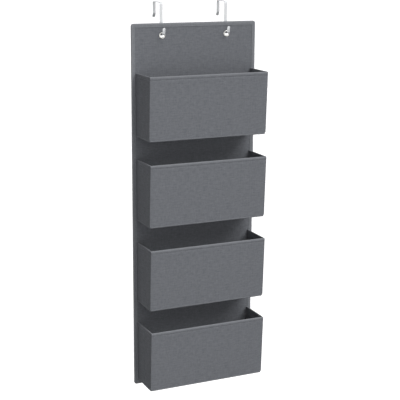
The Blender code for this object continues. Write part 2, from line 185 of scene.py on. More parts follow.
# Eyelets
EYELET_SPACING = 185 * MM
EYELET_HOLE_RADIUS = 5 * MM
EYELET_METAL = 0.5 * MM
EYELET_FLANGE_RADIUS = 8.4 * MM
EYELET_CURL_RADIUS = 7.2 * MM
WASHER_EDGE = 0.1 * MM
EYELET_STEPS = 96
PUNCH_LENGTH = 20 * MM

PANEL_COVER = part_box("panel_front_cover")
PANEL_FACE = PANEL_COVER[0].y
RIM_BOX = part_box("panel_edge_binding")
SIDE_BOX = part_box("basket_1_left_rear_cover")
WALL = SIDE_BOX[1].x - SIDE_BOX[0].x
HALF_WIDTH = -SIDE_BOX[0].x
BASKET_COUNT = 4
FEET = {basket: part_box(f"basket_{basket}_foot_cloth")[0].z for basket in range(1, BASKET_COUNT + 1)}
WALL_FOOT = SIDE_BOX[0].z - FEET[1]
WALL_TOP = SIDE_BOX[1].z - FEET[1]
DEPTH_AT_FLOOR = PANEL_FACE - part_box("basket_1_foot_cloth")[0].y


def hinge(name):
    """A point on a joint's axis and its direction, pointed upwards."""
    found = next(j for j in frame["joints"] if j["name"] == name)
    direction = Vector(found["axis"]).normalized()
    return Vector(found["pos_m"]), direction if direction.z > 0 else -direction


FRONT_HINGE = hinge("basket_1_front_hinge")
CREASE = hinge("basket_1_left_crease")
LEAN = math.atan2(-FRONT_HINGE[1].y, FRONT_HINGE[1].z)


def depth_on(line, height):
    """How far off the panel's face a leaning hinge line stands, at a height above the basket's foot."""
    place, direction = line
    rise = FEET[1] + height - place.z
    return PANEL_FACE - (place.y + direction.y / direction.z * rise)


def front_hinge_depth(height):
    """How far off the panel's face the front hinge stands, at a height above the foot."""
    return depth_on(FRONT_HINGE, height)


def crease_depth(height):
    """How far off the panel's face a side's crease stands, at a height above the foot."""
    return depth_on(CREASE, height)


# Materials


def linear(hex_colour):
    """An sRGB colour such as "6c7075" as the linear RGBA that a shader takes."""
    channels = [int(hex_colour[i : i + 2], 16) / 255 for i in (0, 2, 4)]
    return (*(c / 12.92 if c <= 0.04045 else ((c + 0.055) / 1.055) ** 2.4 for c in channels), 1)


def add_node(tree, kind, inputs=None, **settings):
    """Adds a node. Settings are its own properties; inputs are values, or sockets to link from."""
    made = tree.nodes.new(kind)
    for name, value in settings.items():
        setattr(made, name, value)
    for name, value in (inputs or {}).items():
        if isinstance(value, bpy.types.NodeSocket):
            tree.links.new(value, made.inputs[name])
        else:
            made.inputs[name].default_value = value
    return made


def start_material(name, **shader_values):
    """A material with its shader's constants set. Returns it with its node tree and its shader."""
    made = bpy.data.materials.new(name)
    made.use_nodes = True
    tree = made.node_tree
    shader = tree.nodes["Principled BSDF"]
    for socket, value in shader_values.items():
        shader.inputs[socket.replace("_", " ")].default_value = value
    return made, tree, shader


def woven_polyester(name, dark_yarn, light_yarn, highlight_colour, pitch, slub_length):
    """Plain-woven polyester with a linen look: uneven yarns, some thick and pale, some thin and dark.
    Flat and dull, with faint streaks along both yarn directions and a slight sheen at grazing angles.
    Near folded edges the colour is mixed towards a paler one: a painted highlight where the rims catch the
    light."""
    made, tree, shader = start_material(
        name, Specular_IOR_Level=0.15, Sheen_Weight=0.04, Sheen_Roughness=0.5
    )
    slub_width, long_slub = 3.4 * pitch, 2.5 * slub_length
    cloth = add_node(tree, "ShaderNodeUVMap", uv_map="weave").outputs["UV"]
    across = add_node(tree, "ShaderNodeSeparateXYZ", {"Vector": cloth}).outputs

    def yarn_profile(along):
        turns = add_node(tree, "ShaderNodeMath", {0: along, 1: math.pi / pitch}, operation="MULTIPLY")
        wave = add_node(tree, "ShaderNodeMath", {0: turns.outputs[0]}, operation="SINE")
        return add_node(tree, "ShaderNodeMath", {0: wave.outputs[0]}, operation="ABSOLUTE").outputs[0]

    def streaks(width, length, upright, detail):
        sizes = (1 / width, 1 / length, 1) if upright else (1 / length, 1 / width, 1)
        stretched = add_node(tree, "ShaderNodeMapping", {"Vector": cloth, "Scale": sizes})
        return add_node(
            tree,
            "ShaderNodeTexNoise",
            {"Vector": stretched.outputs[0], "Scale": 1.0, "Detail": detail, "Roughness": 0.6},
            noise_dimensions="2D",
        ).outputs["Fac"]

    over = add_node(tree, "ShaderNodeTexChecker", {"Vector": cloth, "Scale": 1 / pitch}).outputs["Fac"]
    weft = streaks(pitch, slub_length, False, 2.0)
    warp = streaks(pitch, slub_length, True, 2.0)
    weft_slubs = streaks(slub_width, long_slub, False, 1.0)
    warp_slubs = streaks(slub_width, long_slub, True, 1.0)
    slubs = add_node(
        tree, "ShaderNodeMix", {0: 0.4, 2: weft_slubs, 3: warp_slubs}, data_type="FLOAT"
    ).outputs[0]
    yarn = add_node(tree, "ShaderNodeMix", {0: over, 2: weft, 3: warp}, data_type="FLOAT").outputs[0]
    tone = add_node(tree, "ShaderNodeMix", {0: 0.5, 2: yarn, 3: slubs}, data_type="FLOAT").outputs[0]
    spread = add_node(
        tree,
        "ShaderNodeMapRange",
        {"Value": tone, "From Min": 0.25, "From Max": 0.75, "To Min": 0.0, "To Max": 1.0},
    ).outputs[0]
    flat_colour = add_node(
        tree,
        "ShaderNodeMix",
        {0: spread, 6: linear(dark_yarn), 7: linear(light_yarn)},
        data_type="RGBA",
    ).outputs[2]
    # Painted highlight: near a fold the yarn colour is mixed towards a paler colour, standing in for light
    # caught by the rim.
    fold_highlight = add_node(tree, "ShaderNodeAttribute", attribute_name="fold_highlight").outputs["Fac"]
    highlight_share = add_node(tree, "ShaderNodeMath", {0: fold_highlight, 1: 0.7}, operation="MULTIPLY").outputs[0]
    colour = add_node(
        tree,
        "ShaderNodeMix",
        {0: highlight_share, 6: flat_colour, 7: linear(highlight_colour)},
        data_type="RGBA",
    ).outputs[2]
    crossing = add_node(
        tree,
        "ShaderNodeMix",
        {0: over, 2: yarn_profile(across["Y"]), 3: yarn_profile(across["X"])},
        data_type="FLOAT",
    ).outputs[0]
    rows = add_node(tree, "ShaderNodeMath", {0: crossing, 1: 0.5}, operation="MULTIPLY").outputs[0]
    height = add_node(tree, "ShaderNodeMath", {0: rows, 1: tone}, operation="ADD").outputs[0]
    weave = add_node(tree, "ShaderNodeBump", {"Height": height, "Strength": 0.5, "Distance": 0.3 * pitch})
    roughness = add_node(
        tree,
        "ShaderNodeMapRange",
        {"Value": spread, "From Min": 0.0, "From Max": 1.0, "To Min": 0.95, "To Max": 0.82},
    ).outputs[0]
    tree.links.new(colour, shader.inputs["Base Color"])
    tree.links.new(roughness, shader.inputs["Roughness"])
    tree.links.new(weave.outputs[0], shader.inputs["Normal"])
    return made


def spun_thread(name, dark_ply, light_ply, ply_spacing):
    """Spun polyester sewing thread: two fine plies twisted together, which catch a little more light
    than the cloth. The plies cross the thread as slanted pale and dark bands."""
    made, tree, shader = start_material(name, Roughness=0.6, Sheen_Weight=0.2)
    band_at_scale_1 = 0.314  # a pale or dark band's width along an axis, at a texture scale of 1
    place = add_node(tree, "ShaderNodeTexCoord").outputs["Object"]
    plies = add_node(
        tree,
        "ShaderNodeTexWave",
        {"Vector": place, "Scale": band_at_scale_1 / ply_spacing, "Distortion": 0.4},
        bands_direction="DIAGONAL",
    ).outputs["Fac"]
    colour = add_node(
        tree,
        "ShaderNodeMix",
        {0: plies, 6: linear(dark_ply), 7: linear(light_ply)},
        data_type="RGBA",
    ).outputs[2]
    twist = add_node(
        tree, "ShaderNodeBump", {"Height": plies, "Strength": 0.5, "Distance": ply_spacing / 3}
    )
    tree.links.new(colour, shader.inputs["Base Color"])
    tree.links.new(twist.outputs[0], shader.inputs["Normal"])
    return made


def chipboard(name):
    """Grey-brown chipboard made from recycled paper: dull, with dark and pale fibre flecks."""
    made, tree, shader = start_material(name, Roughness=0.92)
    place = add_node(tree, "ShaderNodeTexCoord").outputs["Object"]
    fibre = 1.5 * MM
    flecks = add_node(
        tree,
        "ShaderNodeTexNoise",
        {"Vector": place, "Scale": 1 / fibre, "Detail": 4.0, "Roughness": 0.7},
    ).outputs["Fac"]
    colour = add_node(
        tree,
        "ShaderNodeMix",
        {0: flecks, 6: linear("7d6b52"), 7: linear("b9a88b")},
        data_type="RGBA",
    ).outputs[2]
    felt = add_node(tree, "ShaderNodeBump", {"Height": flecks, "Strength": 0.3, "Distance": 0.1 * MM})
    tree.links.new(colour, shader.inputs["Base Color"])
    tree.links.new(felt.outputs[0], shader.inputs["Normal"])
    return made


def zinc_plated_strip(name):
    """Cold-rolled steel strip with bright zinc plating: satin silver-grey, with faint rolling lines
    along the strip and a soft, slightly cloudy reflection. Real rolling lines are a few hundredths of a
    millimetre wide, and they are drawn wider so that they show."""
    made, tree, shader = start_material(name, Metallic=1.0)
    place = add_node(tree, "ShaderNodeTexCoord").outputs["Object"]
    line_width, line_length, cloud = 0.25 * MM, 40 * MM, 9 * MM
    stretched = add_node(
        tree,
        "ShaderNodeMapping",
        {"Vector": place, "Scale": (1 / line_width, 1 / line_length, 1 / line_length)},
    ).outputs[0]
    lines = add_node(
        tree, "ShaderNodeTexNoise", {"Vector": stretched, "Scale": 1.0, "Detail": 3.0}
    ).outputs["Fac"]
    clouds = add_node(
        tree, "ShaderNodeTexNoise", {"Vector": place, "Scale": 1 / cloud, "Detail": 3.0}
    ).outputs["Fac"]
    colour = add_node(
        tree,
        "ShaderNodeMix",
        {0: clouds, 6: linear("aaacae"), 7: linear("bdbec0")},
        data_type="RGBA",
    ).outputs[2]
    roughness = add_node(
        tree,
        "ShaderNodeMapRange",
        {"Value": lines, "From Min": 0.3, "From Max": 0.7, "To Min": 0.5, "To Max": 0.65},
    ).outputs[0]
    rolled = add_node(tree, "ShaderNodeBump", {"Height": lines, "Strength": 0.12, "Distance": 0.05 * MM})
    tree.links.new(colour, shader.inputs["Base Color"])
    tree.links.new(roughness, shader.inputs["Roughness"])
    tree.links.new(rolled.outputs[0], shader.inputs["Normal"])
    return made


def nickel_plate(name):
    """Stamped brass with bright nickel plating: a warm silver mirror, a little dulled by handling."""
    made, tree, shader = start_material(name, Metallic=1.0)
    place = add_node(tree, "ShaderNodeTexCoord").outputs["Object"]
    smear = 4 * MM
    handling = add_node(
        tree, "ShaderNodeTexNoise", {"Vector": place, "Scale": 1 / smear, "Detail": 4.0}
    ).outputs["Fac"]
    colour = add_node(
        tree,
        "ShaderNodeMix",
        {0: handling, 6: linear("b9b8b4"), 7: linear("cdccc9")},
        data_type="RGBA",
    ).outputs[2]
    roughness = add_node(
        tree,
        "ShaderNodeMapRange",
        {"Value": handling, "From Min": 0.3, "From Max": 0.7, "To Min": 0.22, "To Max": 0.36},
    ).outputs[0]
    tree.links.new(colour, shader.inputs["Base Color"])
    tree.links.new(roughness, shader.inputs["Roughness"])
    return made


# Making pieces


def put_in_scene(name, shape, material, sharp_angle=50):
    """Makes a bmesh in world coordinates into a piece of the scene, shaded smooth between its folds."""
    shape.normal_update()
    bmesh.ops.recalc_face_normals(shape, faces=shape.faces)
    mesh = bpy.data.meshes.new(name)
    shape.to_mesh(mesh)
    shape.free()
    mesh.materials.append(material)
    mesh.shade_smooth()
    mesh.set_sharp_from_angle(angle=math.radians(sharp_angle))
    piece = bpy.data.objects.new(name, mesh)
    bpy.context.scene.collection.objects.link(piece)
    return piece


def thicken(shape, thickness):
    """Gives a cloth sheet its thickness, inwards from the outer face."""
    shape.normal_update()
    bmesh.ops.solidify(shape, geom=shape.faces[:], thickness=thickness)


def prism(outline, thickness):
    """A flat sheet with this outline in local X and Y, and its thickness up local Z."""
    shape = bmesh.new()
    face = shape.faces.new([shape.verts.new((u, v, 0)) for u, v in outline])
    grown = bmesh.ops.extrude_face_region(shape, geom=[face])["geom"]
    raised = [g for g in grown if isinstance(g, bmesh.types.BMVert)]
    bmesh.ops.translate(shape, verts=raised, vec=(0, 0, thickness))
    bmesh.ops.recalc_face_normals(shape, faces=shape.faces)
    return shape


def rectangle(low_u, high_u, low_v, high_v):
    """A rectangle's four corners, anticlockwise."""
    return [(low_u, low_v), (high_u, low_v), (high_u, high_v), (low_u, high_v)]


def round_off(shape, edges, radius, steps):
    """Rounds these edges in this many steps."""
    bmesh.ops.bevel(
        shape,
        geom=edges,
        offset=radius,
        segments=steps,
        profile=0.5,
        affect="EDGES",
        material=-1,
    )


def open_up(shape, *directions):
    """Takes away the faces that look in any of these directions."""
    gone = [f for f in shape.faces if any(f.normal.dot(Vector(d)) > ALIKE for d in directions)]
    bmesh.ops.delete(shape, geom=gone, context="FACES")


def inner_edges(shape):
    """The edges that have a face on both sides."""
    return [e for e in shape.edges if not e.is_boundary]


def cut_across(shape, direction, places, through=(0, 0, 0)):
    """Cuts the mesh square to a direction at each of these distances, so that it can take relief."""
    for place in places:
        bmesh.ops.bisect_plane(
            shape,
            geom=shape.verts[:] + shape.edges[:] + shape.faces[:],
            dist=MERGE,
            plane_co=Vector(through) + Vector(direction) * place,
            plane_no=Vector(direction),
        )


def even_cuts(low, high, cell=CELL):
    """Places between low and high that split the length into cells of about this size."""
    count = max(2, round((high - low) / cell))
    return [low + (high - low) * i / count for i in range(1, count)]


def seam_cuts(place, half_width=SEAM_HALF_WIDTH):
    """Places across a seam's hollow, so that the mesh can follow it."""
    return [place + half_width * share for share in (-1, -0.5, 0, 0.5, 1)]


def hollow(distance, half_width=SEAM_HALF_WIDTH):
    """1 on a seam's line, falling smoothly to 0 at its half width."""
    share = min(abs(distance) / half_width, 1)
    return (1 - share * share) ** 2


def hem_height(hem, below_rim):
    """How far the cloth of a hem stands out at a distance below the rim."""
    for (start, low), (end, high) in zip(hem, hem[1:]):
        if below_rim < end:
            share = max(0, (below_rim - start) / (end - start))
            return low + (high - low) * share * share * (3 - 2 * share)
    return 0


def hem_cuts(rim):
    """Places across a hem, at their distances below the rim."""
    return [rim - distance * MM for distance in HEM_CUTS]


def mark_fold_highlights(shape, from_fold):
    """Marks the cloth near a fold for a painted highlight, a paler colour: 1 on the fold, falling to 0 at
    the highlight's reach.
    from_fold gives a point's distance from the fold."""
    fold_highlight = shape.verts.layers.float.new("fold_highlight")
    for v in shape.verts:
        v[fold_highlight] = max(0, 1 - max(0, from_fold(v.co)) / HIGHLIGHT_REACH)


def pucker(u, v, distance):
    """How cloth that is drawn up by a seam rises and falls along it, dying away to both sides."""
    wave = noise.noise(Vector((u, v, 0)) / PUCKER_LENGTH)
    return PUCKER * wave * math.exp(-abs(distance) / PUCKER_REACH)


def raise_cloth(shape, thickness, relief):
    """Moves each point of the outer and the inner face outwards by relief(u, v, is_outer)."""
    for v in shape.verts:
        if v.co.z > 0.75 * thickness:
            v.co.z += relief(v.co.x, v.co.y, True)
        elif v.co.z < 0.25 * thickness:
            v.co.z -= relief(v.co.x, v.co.y, False)


def lay_weave(shape):
    """A UV map in metres along the cloth's yarns, which also runs on over the narrow edges."""
    weave = shape.loops.layers.uv.new("weave")
    for face in shape.faces:
        for loop in face.loops:
            x, y, z = loop.vert.co
            loop[weave].uv = (x + z, y + z)


def stitch_row(start, end, outward):
    """A row of stitches from start to end, each a short thread sunk half into the cloth."""
    start, outward = Vector(start), Vector(outward)
    run = Vector(end) - start
    along = run.normalized()
    count = int(run.length / STITCH_PITCH)
    step = run / count
    one = bmesh.new()
    bmesh.ops.create_uvsphere(one, u_segments=6, v_segments=4, radius=0.5)
    one.transform(Matrix.Rotation(math.pi / 2, 4, "Y"))
    one.transform(Matrix.Diagonal((STITCH_LENGTH, THREAD, STITCH_HEIGHT, 1)))
    one.transform(Matrix((along, outward.cross(along), outward)).transposed().to_4x4())
    one.transform(Matrix.Translation(start + step / 2))
    stitch = bpy.data.meshes.new("stitch")
    one.to_mesh(stitch)
    one.free()
    row = bmesh.new()
    for _ in range(count):
        row.from_mesh(stitch)
        stitch.transform(Matrix.Translation(step))
    bpy.data.meshes.remove(stitch)
    return row


def gather(shapes):
    """Joins several bmeshes into one."""
    whole = bmesh.new()
    for shape in shapes:
        part = bpy.data.meshes.new("part")
        shape.to_mesh(part)
        shape.free()
        whole.from_mesh(part)
        bpy.data.meshes.remove(part)
    return whole


# Panel

FACING_FRONT = Matrix(((1, 0, 0, 0), (0, 0, -1, 0), (0, 1, 0, 0), (0, 0, 0, 1)))


def eyelet_places():
    """The eyelets' centres on the panel's face, left one first."""
    height = sum(c.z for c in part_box("eyelet_left")) / 2
    return [Vector((side * EYELET_SPACING / 2, PANEL_FACE, height)) for side in (-1, 1)]


def make_panel_cloth(name, node, place, cloth):
    """One of the panel's two cover cloths, drawn flat over the board, with a hole at each eyelet."""
    low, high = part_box(node)
    radius = PANEL_CORNER_RADIUS - (low.x - RIM_BOX[0].x)
    shape = prism(rectangle(low.x, high.x, low.z, high.z), CLOTH)
    corners = [e for e in shape.edges if abs(e.verts[0].co.z - e.verts[1].co.z) > CLOTH / 2]
    round_off(shape, corners, radius, steps=6)
    cut_across(shape, (1, 0, 0), even_cuts(low.x, high.x, PANEL_CELL))
    cut_across(shape, (0, 1, 0), even_cuts(low.z, high.z, PANEL_CELL))
    lay_weave(shape)
    shape.transform(Matrix.Translation((0, place, 0)) @ FACING_FRONT)
    piece = put_in_scene(name, shape, cloth)
    for centre in eyelet_places():
        punch_hole(piece, centre, EYELET_HOLE_RADIUS + EYELET_METAL + GAP)
    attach(piece, "panel")
    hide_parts(node)


def punch_hole(piece, centre, radius):
    """Cuts a round hole through a cloth that is parallel to the panel."""
    punch = bmesh.new()
    bmesh.ops.create_cone(
        punch, cap_ends=True, segments=48, radius1=radius, radius2=radius, depth=PUNCH_LENGTH
    )
    punch.transform(Matrix.Translation(centre) @ Matrix.Rotation(math.pi / 2, 4, "X"))
    tool = put_in_scene("punch", punch, piece.data.materials[0])
    hole = piece.modifiers.new("hole", "BOOLEAN")
    hole.operation = "DIFFERENCE"
    hole.solver = "EXACT"
    hole.object = tool
    bpy.context.view_layer.update()
    settled = bpy.data.meshes.new_from_object(piece.evaluated_get(bpy.context.evaluated_depsgraph_get()))
    piece.modifiers.clear()
    piece.data = settled
    bpy.data.objects.remove(tool)


def make_edge_tape(tape):
    """The tape folded round the panel's rim and sewn through, from one piece of U section."""
    low, high = RIM_BOX
    depth = high.y - low.y
    shape = prism(rectangle(low.x, high.x, low.z, high.z), depth)
    corners = [e for e in shape.edges if abs(e.verts[0].co.z - e.verts[1].co.z) > depth / 2]
    round_off(shape, corners, PANEL_CORNER_RADIUS, steps=8)
    rims = [e for e in shape.edges if abs(e.verts[0].co.z - e.verts[1].co.z) < depth / 2]
    round_off(shape, rims, TAPE_FOLD_RADIUS, steps=4)
    sides = (low.x + TAPE_WIDTH, high.x - TAPE_WIDTH)
    ends = (low.z + TAPE_WIDTH, high.z - TAPE_WIDTH)
    seam_x = [x for side in (1, -1) for x in seam_cuts(side * (high.x - TAPE_WIDTH + SEAM_INSET))]
    seam_z = seam_cuts(low.z + TAPE_WIDTH - SEAM_INSET) + seam_cuts(high.z - TAPE_WIDTH + SEAM_INSET)
    cut_across(shape, (1, 0, 0), [*sides, *seam_x])
    cut_across(shape, (0, 1, 0), [*ends, *seam_z])
    middle = [
        f
        for f in shape.faces
        if abs(f.normal.z) > ALIKE
        and sides[0] < f.calc_center_median().x < sides[1]
        and ends[0] < f.calc_center_median().y < ends[1]
    ]
    bmesh.ops.delete(shape, geom=middle, context="FACES")
    cut_across(shape, (1, 0, 0), even_cuts(low.x, high.x))
    cut_across(shape, (0, 1, 0), even_cuts(low.z, high.z))

    def from_edge(u, v):
        return min(u - low.x, high.x - u, v - low.z, high.z - v)

    def relief(u, v, is_outer):
        from_seam = from_edge(u, v) - (TAPE_WIDTH - SEAM_INSET)
        return pucker(u, v, from_seam) - SEAM_HOLLOW * hollow(from_seam)

    raise_cloth(shape, depth, relief)
    # Painted highlight: the tape is painted paler near its folded rim, all round the panel.
    mark_fold_highlights(shape, lambda place: from_edge(place.x, place.y))
    lay_tape_weave(shape, low, high)
    thicken(shape, TAPE)
    shape.transform(Matrix.Translation((0, high.y, 0)) @ FACING_FRONT)
    piece = put_in_scene("panel_edge_tape", shape, tape)
    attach(piece, "panel")
    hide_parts("panel_edge_binding")


def lay_tape_weave(shape, low, high):
    """The tape's weave follows it round the rim: U runs along the tape and V across it."""
    weave = shape.loops.layers.uv.new("weave")
    for face in shape.faces:
        centre = face.calc_center_median()
        beside = min(centre.x - low.x, high.x - centre.x) < min(centre.y - low.z, high.z - centre.y)
        for loop in face.loops:
            x, y, z = loop.vert.co
            loop[weave].uv = (y, x + z) if beside else (x, y + z)


def make_tape_thread(thread):
    """The stitches that go round the panel through the tape, seen on its front and its rear."""
    low, high = RIM_BOX
    inset = TAPE_WIDTH - SEAM_INSET
    x, foot, top = high.x - inset, low.z + inset, high.z - inset
    rows = []
    for y, outward in ((low.y + SEAM_HOLLOW, (0, -1, 0)), (high.y - SEAM_HOLLOW, (0, 1, 0))):
        loop = [Vector(c) for c in ((-x, y, foot), (x, y, foot), (x, y, top), (-x, y, top))]
        rows += [stitch_row(loop[i - 1], loop[i], Vector(outward)) for i in range(4)]
    piece = put_in_scene("panel_tape_thread", gather(rows), thread)
    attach(piece, "panel")


# Eyelets and hooks


def arc(middle, radii, start, end, steps):
    """Points of an elliptic arc, angles in degrees."""
    points = []
    for i in range(steps + 1):
        angle = math.radians(start + (end - start) * i / steps)
        points.append((middle[0] + radii[0] * math.cos(angle), middle[1] + radii[1] * math.sin(angle)))
    return points


def make_eyelet(side_name, centre, metal):
    """The domed face, the barrel through the panel, and its end rolled over on the washer behind."""
    node = f"eyelet_{side_name}"
    low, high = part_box(node)
    crown = PANEL_FACE - low.y - GAP
    rear = PANEL_FACE - high.y
    washer_rear = rear + EYELET_METAL
    washer_front = rear + 2 * EYELET_METAL
    inner, outer = EYELET_HOLE_RADIUS, EYELET_HOLE_RADIUS + EYELET_METAL
    face_middle = (inner + EYELET_FLANGE_RADIUS) / 2
    curl_middle = (inner + EYELET_CURL_RADIUS) / 2
    profile = [
        *arc((face_middle, GAP), (face_middle - inner, crown), 180, 0, 12),
        (outer, GAP),
        (outer, washer_front),
        (EYELET_FLANGE_RADIUS - WASHER_EDGE, washer_front),
        (EYELET_FLANGE_RADIUS, washer_rear + WASHER_EDGE),
        (EYELET_FLANGE_RADIUS - WASHER_EDGE, washer_rear),
        *arc((curl_middle, washer_rear), (curl_middle - inner, EYELET_METAL), 0, -180, 8),
    ]
    shape = bmesh.new()
    corners = [shape.verts.new((r, -forward, 0)) for r, forward in profile]
    edges = [shape.edges.new((corners[i - 1], corners[i])) for i in range(len(corners))]
    bmesh.ops.spin(
        shape,
        geom=corners + edges,
        cent=(0, 0, 0),
        axis=(0, 1, 0),
        angle=2 * math.pi,
        steps=EYELET_STEPS,
        use_merge=True,
    )
    bmesh.ops.remove_doubles(shape, verts=shape.verts, dist=MERGE)
    shape.transform(Matrix.Translation(centre))
    piece = put_in_scene(f"eyelet_{side_name}_plated", shape, metal, sharp_angle=40)
    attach(piece, "panel")
    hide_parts(node)


def finish_hooks(steel):
    """The hooks keep their shape: a merged copy of each solid is plated, shaded smooth round its bends."""
    for side_name in ("left", "right"):
        node = f"door_hook_{side_name}"
        copy = bmesh.new()
        copy.from_mesh(frame["nodes"][node].data)
        bmesh.ops.remove_doubles(copy, verts=copy.verts, dist=MERGE)
        bmesh.ops.dissolve_limit(
            copy, angle_limit=math.radians(1), verts=copy.verts, edges=copy.edges
        )
        piece = put_in_scene(f"{node}_plated", copy, steel, sharp_angle=40)
        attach(piece, "door_hooks")
        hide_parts(node)


# Baskets


def make_front(basket, cloth, thread):
    """The front sleeve: a hem folded over the rim and sewn, and cloth that swells a little over its
    board."""
    body = f"basket_{basket}_front"
    foot = FEET[basket]
    slope = math.cos(LEAN)
    low, high = WALL_FOOT / slope, WALL_TOP / slope
    shape = prism(rectangle(-HALF_WIDTH, HALF_WIDTH, low, high), WALL)
    open_up(shape, (0, -1, 0))
    round_off(shape, inner_edges(shape), SLEEVE_EDGE_RADIUS, steps=4)
    seam = high - SEAM_BELOW_RIM
    edge_line = HALF_WIDTH - EDGE_LINE_INSET
    edge_cuts = [side * x for side in (-1, 1) for x in seam_cuts(edge_line, EDGE_LINE_HALF_WIDTH)]
    cut_across(shape, (1, 0, 0), [*even_cuts(-HALF_WIDTH, HALF_WIDTH), *edge_cuts])
    cut_across(shape, (0, 1, 0), even_cuts(low, high - FRONT_HEM[-1][0] - CELL / 2))
    cut_across(shape, (0, 1, 0), hem_cuts(high))

    def relief(u, v, is_outer):
        if not is_outer:
            return -SEAM_HOLLOW * hollow(v - seam)
        swell = (1 - (u / HALF_WIDTH) ** 4) * math.sin(math.pi * min(1, (v - low) / (high - low)))
        patch = noise.noise(Vector((u, v, basket)) / BULGE_PATCH)
        uneven = 1 - BULGE_VARIES + BULGE_VARIES * patch
        pressed = EDGE_LINE_HOLLOW * hollow(abs(u) - edge_line, EDGE_LINE_HALF_WIDTH)
        hem = hem_height(FRONT_HEM, high - v) + pucker(u, v + basket, v - seam)
        return hem - pressed + FRONT_BULGE * swell * uneven

    raise_cloth(shape, WALL, relief)
    # Painted highlight: the cloth is painted paler along the rim.
    mark_fold_highlights(shape, lambda place: high - place.y)
    for v in shape.verts:
        near_side = max(0, 1 - (HALF_WIDTH - abs(v.co.x)) / SIDE_PULL_REACH)
        drawn_in = hollow(v.co.y - seam, PULL_ALONG_SEAM) + hollow(v.co.y - low, PULL_ALONG_FOOT)
        v.co.x -= math.copysign(near_side * SIDE_PULL * drawn_in, v.co.x)
    lay_weave(shape)
    thicken(shape, CLOTH)
    outer_foot = Matrix.Translation((0, PANEL_FACE - DEPTH_AT_FLOOR, foot))
    lean = Matrix.Rotation(LEAN, 4, "X")
    place = outer_foot @ lean @ Matrix.Translation((0, WALL, 0)) @ FACING_FRONT
    shape.transform(place)
    piece = put_in_scene(f"basket_{basket}_front_fabric", shape, cloth)
    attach(piece, body)
    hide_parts(f"{body}_cover")

    mean_bulge = FRONT_BULGE * (1 - BULGE_VARIES)
    bulge_at_seam = mean_bulge * math.sin(math.pi * (seam - low) / (high - low))
    rise = WALL + hem_height(FRONT_HEM, SEAM_BELOW_RIM) + bulge_at_seam + STITCH_LIFT
    ends = [place @ Vector((u, seam, rise)) for u in (ROW_INSET - HALF_WIDTH, HALF_WIDTH - ROW_INSET)]
    outward = (place.to_3x3() @ Vector((0, 0, 1))).normalized()
    row = put_in_scene(f"basket_{basket}_front_thread", stitch_row(*ends, outward), thread)
    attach(row, body)


def side_frame(side, foot):
    """Turns local X into distance off the panel, local Y into height and local Z outwards."""
    return Matrix(
        (
            (0, 0, side, side * (HALF_WIDTH - WALL)),
            (-1, 0, 0, PANEL_FACE),
            (0, 1, 0, foot),
            (0, 0, 0, 1),
        )
    )


def bend_at_crease(piece, basket, side_name):
    """Bakes the piece's placing into its mesh. The crease's place and forward direction are found but not
    used, so the piece does not follow the side's halves.
    """
    place, direction = hinge(f"basket_{basket}_{side_name}_crease")
    forward = direction.cross(Vector((1, 0, 0))).normalized()
    forward = forward if forward.y < 0 else -forward
    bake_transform(piece)


def make_side(basket, side_name, side, cloth, thread):
    """One side's sleeve, over both of its boards, sewn through along the crease between them."""
    foot = FEET[basket]
    low, high = WALL_FOOT, WALL_TOP
    front_low, front_high = front_hinge_depth(low), front_hinge_depth(high)
    outline = [(GAP, low), (front_low, low), (front_high, high), (GAP, high)]
    shape = prism(outline, WALL)
    open_up(shape, (0, -1, 0))
    round_off(shape, inner_edges(shape), SLEEVE_EDGE_RADIUS, steps=4)
    seam = high - SEAM_BELOW_RIM
    crease_foot = Vector((crease_depth(0), 0, 0))
    crease_run = Vector((crease_depth(1) - crease_depth(0), 1, 0)).normalized()
    ahead = Vector((crease_run.y, -crease_run.x, 0))
    across_crease = [CREASE_HALF_WIDTH * i / 5 for i in range(-5, 6)]
    cells = int(crease_depth(0) / CELL - 1)
    beside_crease = [sign * CELL * i for sign in (-1, 1) for i in range(1, cells + 1)]
    cut_across(shape, ahead, [*across_crease, *beside_crease], through=crease_foot)
    cut_across(shape, (0, 1, 0), even_cuts(low, high - FRONT_HEM[-1][0] - CELL / 2))
    cut_across(shape, (0, 1, 0), hem_cuts(high))

    def relief(u, v, is_outer):
        off_crease = (Vector((u, v, 0)) - crease_foot).dot(ahead)
        pressed = CREASE_HOLLOW * hollow(off_crease, CREASE_HOLLOW_HALF_WIDTH)
        if not is_outer:
            return -pressed - SEAM_HOLLOW * hollow(v - seam)
        from_ends = min(u, front_hinge_depth(v) - u) - REAR_SEAM_TAPE - CELL
        full = max(0, min(1, from_ends / HEM_FADE))
        hem = hem_height(SIDE_HEM, high - v)
        raised = max(hem, 0) + SIDE_PUCKER * pucker(u, v + basket, v - seam)
        return min(hem, 0) + full * raised - pressed

    raise_cloth(shape, WALL, relief)
    # Painted highlight: the cloth is painted paler along the rim.
    mark_fold_highlights(shape, lambda place: high - place.y)
    lay_weave(shape)
    thicken(shape, CLOTH)
    place = side_frame(side, foot)
    shape.transform(place)
    piece = put_in_scene(f"basket_{basket}_{side_name}_fabric", shape, cloth)
    bend_at_crease(piece, basket, side_name)
    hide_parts(*(f"basket_{basket}_{side_name}_{half}_cover" for half in ("rear", "front")))

    rows = []
    for half, (start, end) in (
        ("rear", (ROW_INSET, crease_depth(seam) - ROW_INSET)),
        ("front", (crease_depth(seam) + ROW_INSET, front_hinge_depth(seam) - ROW_INSET)),
    ):
        ends = [place @ Vector((u, seam, WALL - STITCH_SINK)) for u in (start, end)]
        row = put_in_scene(
            f"basket_{basket}_{side_name}_{half}_thread",
            stitch_row(*ends, Vector((side, 0, 0))),
            thread,
        )
        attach(row, f"basket_{basket}_{side_name}_{half}")


